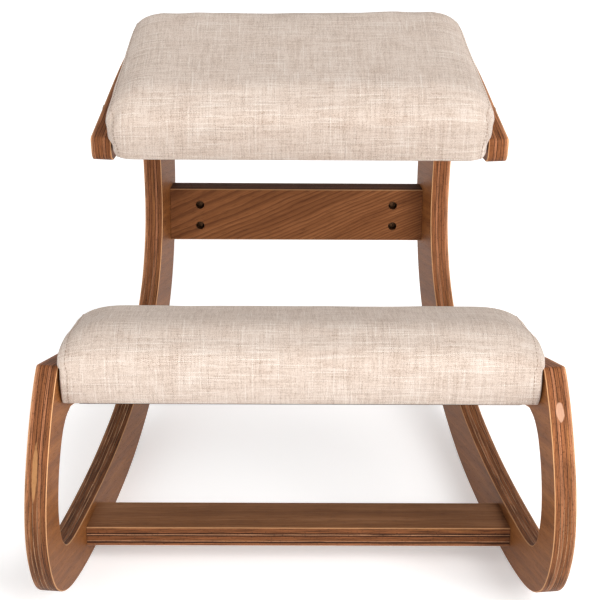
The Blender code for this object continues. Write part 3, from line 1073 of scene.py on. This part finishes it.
def make_foam(cushion, foam):
    """The foam pad inside the cover: the same shape, a little smaller and in larger cells."""
    across, along, rows = cushion.cells
    inner = SimpleNamespace(**vars(cushion))
    inner.cells = (across // 3, along // 3, rows)
    inner.height -= 0.003
    inner.shoulder += 0.003
    inner.rail = [height + 0.005 for height in cushion.rail]
    inner.flare = [max(reach - 0.006, 0.0) for reach in cushion.flare]
    mesh, _ = cushion_block(inner, shrink=FOAM_GAP)
    matrix = cushion_frame(cushion)
    back = matrix.inverted()
    for vertex in mesh.vertices:
        point = back @ vertex.co
        point.y = FOAM_GAP + point.y * (1 - 2 * FOAM_GAP / cushion.depth)
        point.z = max(point.z, BOARD + 0.0004)
        vertex.co = matrix @ point
    piece = add_piece(cushion.name + "_foam_pad", mesh, foam, "foam", (cushion.name + "_foam",))


def make_board(cushion, ply):
    """The plywood board under the foam, cut to the cushion's plan with its edges eased."""
    matrix = cushion_frame(cushion)
    start = cushion.turn_under
    shorter = 1 - start / cushion.depth
    rings = [[matrix @ Vector((point.x, start + point.y * shorter, height))
              for point in board_outline(cushion, inset)]
             for inset, height in ((0.0035, 0.0), (0.0025, 0.001), (0.0025, BOARD - 0.001), (0.0035, BOARD))]
    bm = bmesh.new()
    loft(bm, rings)
    name = cushion.name
    add_piece(name + "_plywood_board", bm, ply, "board_plywood", (name + "_board",), smooth=False)


# ---- fixings

def round_ring(radius, height):
    turns = [2 * math.pi * i / RING_SIDES for i in range(RING_SIDES)]
    return [Vector((radius * math.cos(turn), radius * math.sin(turn), height)) for turn in turns]


def hexagon_ring(radius, height):
    ring = round_ring(1.0, height)
    for i, point in enumerate(ring):
        turn = 2 * math.pi * i / RING_SIDES
        reach = radius * math.cos(math.pi / 6) / math.cos(turn % (math.pi / 3) - math.pi / 6)
        point.xy *= reach
    return ring


def bolt_mesh():
    """A flat-headed connector bolt along +Z, its origin on the panel's inner face."""
    seat = PLY + BAR_GAP
    top = seat + BOLT_HEAD_HEIGHT
    shank, head = BOLT / 2, BOLT_HEAD / 2
    profile = [(shank - 0.0008, BOLT_TIP), (shank, BOLT_TIP + 0.0008)]
    thread = BOLT_TIP + 0.0012
    while thread < BOLT_TIP + THREAD_LENGTH:
        profile += [(shank, thread), (shank - THREAD_DEPTH, thread + THREAD_PITCH / 2)]
        thread += THREAD_PITCH
    profile += [(shank, seat), (head - 0.0003, seat), (head, seat + 0.0004), (head, seat + 0.0012),
                (head - 0.0005, seat + 0.0018), (head - 0.0016, top)]
    rings = [round_ring(*point) for point in profile]
    rings += [hexagon_ring(0.0027, top), hexagon_ring(0.0024, top - 0.0004),
              hexagon_ring(0.0024, top - 0.0019), round_ring(0.0008, top - 0.0023)]
    bm = bmesh.new()
    loft(bm, rings)
    return crisp(finished(bm, "bolt"))


def nut_mesh():
    """A barrel nut along Z, with a screwdriver slot in both ends and its threaded hole along X."""
    half = NUT_LENGTH / 2
    body, cutters = bmesh.new(), bmesh.new()
    loft(body, [round_ring(NUT / 2 - 0.0006, -half), round_ring(NUT / 2, -half + 0.0006),
                round_ring(NUT / 2, half - 0.0006), round_ring(NUT / 2 - 0.0006, half)])
    slot = Matrix.Diagonal((0.0012, 0.02, 0.0026, 1))
    for end in (-1, 1):
        bmesh.ops.create_cube(cutters, size=1.0, matrix=Matrix.Translation((0, 0, end * half)) @ slot)
    bmesh.ops.create_cone(cutters, cap_ends=True, segments=24, radius1=BOLT / 2 + 0.0002,
                          radius2=BOLT / 2 + 0.0002, depth=0.02, matrix=Matrix.Rotation(QUARTER, 4, "Y"))
    return crisp(cut_away(body, cutters, "nut"))


def make_fixings(dark_steel, brass):
    """A detailed bolt and cross nut in the place of each CAD one."""
    joints = {"upper_crossbar": QUARTER, "lower_crossbar": 2 * QUARTER,
              "seat_board": 2 * QUARTER + SEAT.tilt, "knee_board": 2 * QUARTER + KNEE.tilt}
    bolt, nut = bolt_mesh(), nut_mesh()
    for joint, bore_turn in joints.items():
        for side, side_name in ((-1, "left"), (1, "right")):
            turned = Matrix.Rotation(side * TOE_IN, 4, "Z")
            out = turned @ Matrix.Rotation(side * QUARTER, 4, "Y")
            upright = turned @ Matrix.Rotation(bore_turn, 4, "X")
            for place in "ab":
                tag = f"{side_name}_{place}"
                middle = node_middle(f"{joint}_nut_{tag}")
                inner_face = middle + turned @ Vector((side * NUT_DEPTH, 0, 0))
                shapes = (("bolt", bolt, Matrix.Translation(inner_face) @ out, dark_steel, "dark_steel"),
                          ("nut", nut, Matrix.Translation(middle) @ upright, brass, "zinc_steel"))
                for kind, source, matrix, material, slot in shapes:
                    mesh = source.copy()
                    mesh.transform(matrix)
                    add_piece(f"{joint}_{kind}_{tag}_detailed", mesh, material, slot,
                              (f"{joint}_{kind}_{tag}",), smooth=False)


# ---- stage

def make_floor():
    mat = Shader("pale_floor")
    mat.set(Base_Color=srgb(254, 254, 254), Roughness=0.8, Specular_IOR_Level=0.1,
            Emission_Color=WHITE, Emission_Strength=0.30)
    mesh = bpy.data.meshes.new("floor")
    corners = [(x * FLOOR_REACH, y * FLOOR_REACH, 0) for x, y in ((-1, -1), (1, -1), (1, 1), (-1, 1))]
    mesh.from_pydata(corners, [], [(0, 1, 2, 3)])
    mesh.materials.append(mat.data)
    floor = link("floor", mesh)
    floor.location.z = -0.0002


def make_light(name, place, size, power):
    """A soft square lamp that faces the chair."""
    data = bpy.data.lights.new(name, "AREA")
    data.shape = "SQUARE"
    data.size = size
    data.energy = power
    turn = (LAMP_TARGET - Vector(place)).to_track_quat("-Z", "Y").to_matrix().to_4x4()
    link(name, data).matrix_world = Matrix.Translation(place) @ turn


def make_world():
    """Soft white light all round, stronger from the front than from behind."""
    sky = Shader("studio", bpy.data.worlds, "Background")
    _, y, _ = sky.split(sky.place("Generated"))
    sky.set(Color=WHITE, Strength=sky.step(y, -0.7, 0.7, FRONT_SKY, BACK_SKY))
    bpy.context.scene.world = sky.data


def make_camera():
    data = bpy.data.cameras.new("camera")
    data.sensor_width = 36
    data.lens = CAMERA_LENS
    camera = link("camera", data)
    turn = Matrix.Rotation(-CAMERA_RIGHT, 4, "Z") @ Matrix.Rotation(QUARTER - CAMERA_DOWN, 4, "X")
    roll = Matrix.Rotation(CAMERA_ROLL, 4, "Z")
    camera.matrix_world = Matrix.Translation(CAMERA_PLACE) @ turn @ roll
    bpy.context.scene.camera = camera


# ---- the whole

def build():
    bpy.context.scene.view_settings.view_transform = "Standard"
    make_camera()
    make_world()
    make_floor()
    make_light("key", (1.5, -2.75, 2.1), 1.6, 87)

    # Edge dimming as (upper, lower), partly the wood's tone and partly painted shade: the left panel's edges
    # are painted darker than the right's as they turn from the lamp, and the upper bar's top edge and nut
    # bores carry painted shade from the seat above
    left_wood = wood("panel_wood_left", worn=1.0, edge_tone_and_painted_shade=(0.70, 0.44), seed=3.0,
                     filler=((0.0127, 0.193), (0.0026, 0.026), srgb(172, 124, 80)))
    right_wood = wood("panel_wood_right", worn=0.6, edge_tone_and_painted_shade=(0.82, 0.54), seed=11.0,
                      filler=((0.0105, 0.246), (0.0042, 0.008), srgb(204, 158, 130)))
    upper_wood = wood("upper_bar_wood", slope=24.0, figure=185.0, fan=4.3, figure_depth=0.48,
                      middle=0.216, thickness=0.025, face_tint=(0.97, 0.95, 0.96),
                      edge_tone_and_painted_shade=(0.26, 0.26), skin=0.45, seed=23.0)
    # The lower bar's faces are tinted greyer and bluer: partly the veneer's own tone and partly a painted
    # reflection of the sky on its upward face
    lower_wood = wood("lower_bar_wood", slope=1.0, figure=60.0, face_tint=(0.97, 1.03, 1.18),
                      layers=BAR_LAYERS, edge_tone_and_painted_shade=(0.54, 0.54), seed=31.0)
    side_panel("side_panel_left", "side_frame_left", -1, left_wood)
    side_panel("side_panel_right", "side_frame_right", 1, right_wood)
    crossbar("upper_crossbar", Vector((0, -1, 0)), upper_wood)
    crossbar("lower_crossbar", Vector((0, 0, -1)), lower_wood)

    fabric, thread, cloth = linen(), sewing_thread(), non_woven()
    foam, ply = foam_rubber(), plain_plywood()
    zinc = metal("zinc_plating", (150, 148, 142), (196, 194, 188), 0.28)
    # Partly painted shade: the nuts' brass is darker than their own finish, standing in for the shade deep
    # in their bores
    brass = metal("dulled_brass", (52, 36, 25), (100, 72, 50), 0.30)
    dark_steel = metal("blackened_steel", (44, 40, 37), (70, 64, 58), 0.34)
    for cushion in (SEAT, KNEE):
        for side, line in make_cushion(cushion, fabric):
            make_stitches(cushion, side, line, thread)
        make_foam(cushion, foam)
        make_dust_cloth(cushion, cloth)
        make_staples(cushion, zinc)
        make_board(cushion, ply)
    make_fixings(dark_steel, brass)


build()
